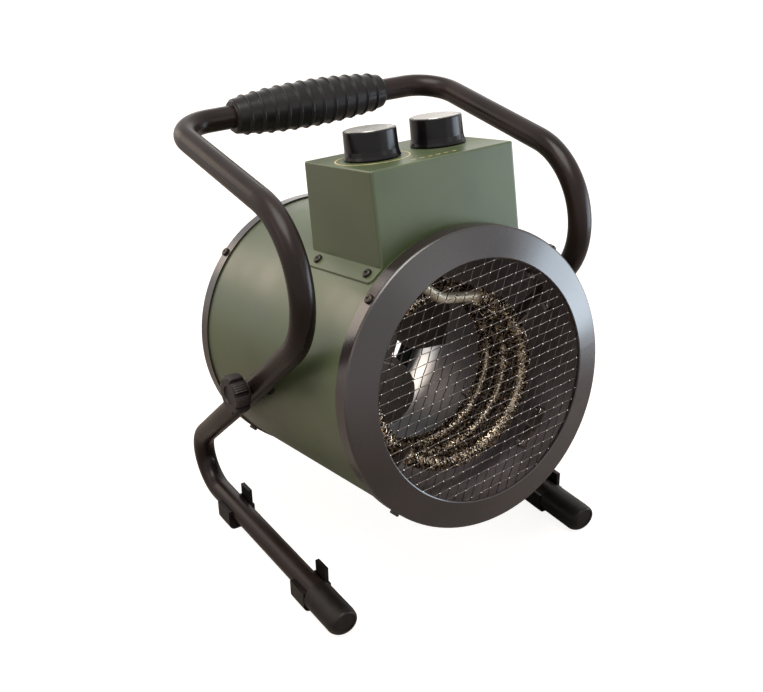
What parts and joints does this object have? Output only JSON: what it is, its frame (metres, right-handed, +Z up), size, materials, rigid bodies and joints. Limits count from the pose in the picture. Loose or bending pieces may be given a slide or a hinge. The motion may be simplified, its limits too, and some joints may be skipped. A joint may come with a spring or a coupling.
{
  "type": "forced air heater",
  "caption": "Portable forced air heater: tilting drum with a mesh outlet and finned coil, controls in a box on top, held in a bent tube stand that is also its handle.",
  "frame": {"origin": "on the floor under the tilt axis, at the middle of the footprint", "axes": "+Z up, warm air leaves towards -Y, +X is to the right for someone who faces the outlet"},
  "size_m": [0.3048, 0.2941, 0.3747],
  "materials": {
    "stand_paint": "satin",
    "grip_plastic": "matte",
    "boot_rubber": "matte",
    "clamp_plastic": "satin",
    "zinc_steel": "satin",
    "black_steel": "satin",
    "olive_paint": "satin",
    "charcoal_paint": "satin",
    "mesh_wire": "satin",
    "liner_steel": "satin",
    "coil_steel": "satin",
    "fan_aluminium": "satin",
    "motor_steel": "satin",
    "stator_steel": "satin",
    "bright_steel": "polished",
    "knob_gloss": "gloss",
    "disc_silver": "satin",
    "switch_plastic": "matte",
    "porcelain": "matte",
    "gland_plastic": "satin",
    "brass": "satin"
  },
  "bodies": {
    "stand": {"stand_tube": "stand_paint", "hand_grip": "grip_plastic", "foot_boot_left": "boot_rubber", "foot_boot_right": "boot_rubber", "foot_pads": "boot_rubber"},
    "clamp_left": {"clamp_knob_left": "clamp_plastic", "clamp_bolt_left": "zinc_steel"},
    "clamp_right": {"clamp_knob_right": "clamp_plastic", "clamp_bolt_right": "zinc_steel"},
    "fan": {"fan_shaft": "bright_steel", "motor_rotor": "stator_steel", "shaft_collar": "brass", "fan_impeller": "fan_aluminium", "fan_nut": "zinc_steel"},
    "thermostat": {"thermostat_knob": "knob_gloss", "thermostat_disc": "disc_silver", "thermostat_spindle": "zinc_steel"},
    "selector": {"selector_knob": "knob_gloss", "selector_disc": "disc_silver", "selector_spindle": "zinc_steel"},
    "drum": {"pivot_washers": "black_steel", "pivot_bosses": "zinc_steel", "drum_casing": "olive_paint", "front_bezel": "charcoal_paint", "rear_ring": "charcoal_paint", "bezel_screws": "black_steel", "rear_ring_screws": "black_steel", "outlet_mesh": "mesh_wire", "rear_grille": "black_steel", "heat_liner": "liner_steel", "liner_standoffs": "zinc_steel", "heating_coil": "coil_steel", "coil_ferrules": "zinc_steel", "terminal_pins": "bright_steel", "terminal_nuts": "brass", "coil_combs": "liner_steel", "comb_screws": "bright_steel", "motor_shell": "motor_steel", "motor_end_cap": "motor_steel", "motor_stator": "stator_steel", "motor_bearings": "bright_steel", "motor_posts": "zinc_steel", "motor_screws": "zinc_steel", "control_box": "olive_paint", "box_screws": "zinc_steel", "thermostat_switch": "switch_plastic", "selector_switch": "switch_plastic", "bush_nuts": "zinc_steel", "cable_gland": "gland_plastic", "gland_nut": "gland_plastic", "terminal_block": "porcelain", "thermal_cutout": "switch_plastic"}
  },
  "joints": [
    {"name": "drum_tilt", "type": "hinge", "parent": "stand", "child": "drum", "pos_m": [0, 0, 0.1715], "axis": [1, 0, 0], "range_deg": [-19.7, 40.3]},
    {"name": "clamp_left_turn", "type": "hinge", "parent": "stand", "child": "clamp_left", "pos_m": [-0.15, 0, 0.1715], "axis": [-1, 0, 0], "range_deg": [0, 270]},
    {"name": "clamp_right_turn", "type": "hinge", "parent": "stand", "child": "clamp_right", "pos_m": [0.15, 0, 0.1715], "axis": [1, 0, 0], "range_deg": [0, 270]},
    {"name": "fan_spin", "type": "hinge", "parent": "drum", "child": "fan", "pos_m": [0, 0.02558, 0.16685], "axis": [0, -0.9839, 0.1788], "continuous": true},
    {"name": "thermostat_turn", "type": "hinge", "parent": "drum", "child": "thermostat", "pos_m": [-0.03, -0.02477, 0.34838], "axis": [0, 0.1788, 0.9839], "range_deg": [-60, 240]},
    {"name": "selector_turn", "type": "hinge", "parent": "drum", "child": "selector", "pos_m": [0.03, -0.02477, 0.34838], "axis": [0, 0.1788, 0.9839], "range_deg": [-90, 180]}
  ]
}
